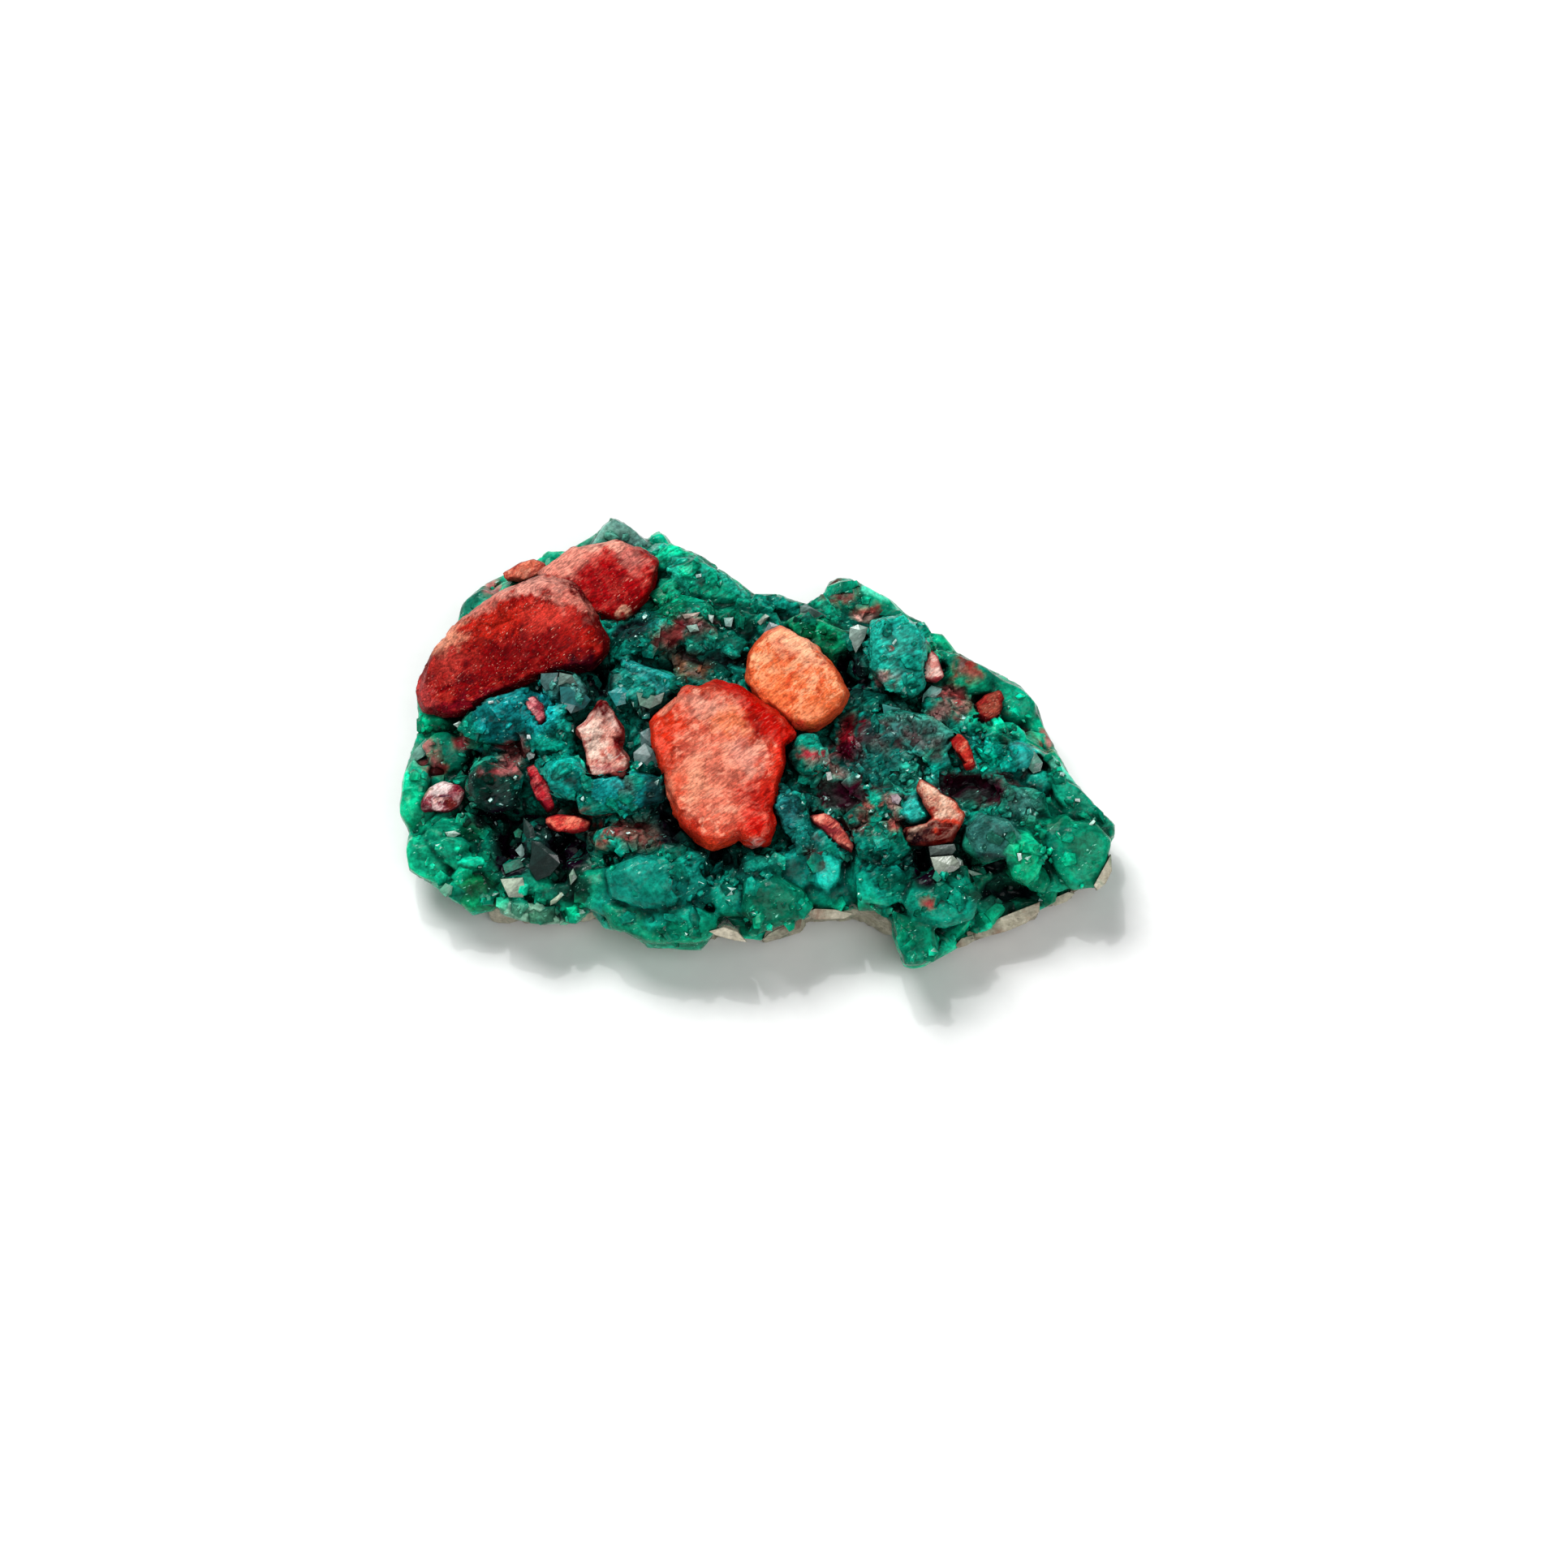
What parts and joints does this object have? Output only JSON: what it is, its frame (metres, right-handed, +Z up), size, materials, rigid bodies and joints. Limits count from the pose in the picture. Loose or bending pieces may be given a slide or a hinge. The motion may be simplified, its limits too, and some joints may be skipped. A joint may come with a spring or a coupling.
{
  "type": "dioptase on matrix",
  "caption": "Mineral specimen: a flat-footed piece of host rock under a crust of emerald dioptase crystals, with blades of red and orange iron-stained calcite set in it.",
  "frame": {"origin": "middle of the specimen's bounding box, on the flat foot that it rests on", "axes": "+X along the specimen's length, to the right as it is displayed; +Y away from the viewer; +Z up from the flat foot"},
  "size_m": [0.0589, 0.043, 0.0165],
  "materials": {
    "rock": "rough broken rock with brown iron stain",
    "dioptase": "glassy emerald to teal crystals, partly see-through at thin edges",
    "calcite_red": "granular deep red calcite, paler along its upper edges",
    "calcite_orange": "granular salmon to orange calcite, redder at the rims",
    "calcite_pink": "pale pink broken calcite, red in the cracks"
  },
  "bodies": {
    "root": {"matrix": "rock", "dioptase_crust": "dioptase", "calcite_blade_left_front": "calcite_red", "calcite_blade_left_back": "calcite_red", "calcite_blade_centre": "calcite_orange", "calcite_blade_small": "calcite_orange", "calcite_block": "calcite_pink", "calcite_wedge": "calcite_pink", "calcite_teardrop": "calcite_pink", "calcite_knob": "calcite_pink", "calcite_curl": "calcite_orange", "calcite_lens": "calcite_orange", "calcite_splinter_back": "calcite_orange", "calcite_sliver": "calcite_orange", "calcite_stripe": "calcite_red", "calcite_scale": "calcite_red", "calcite_chip": "calcite_red"}
  },
  "joints": []
}
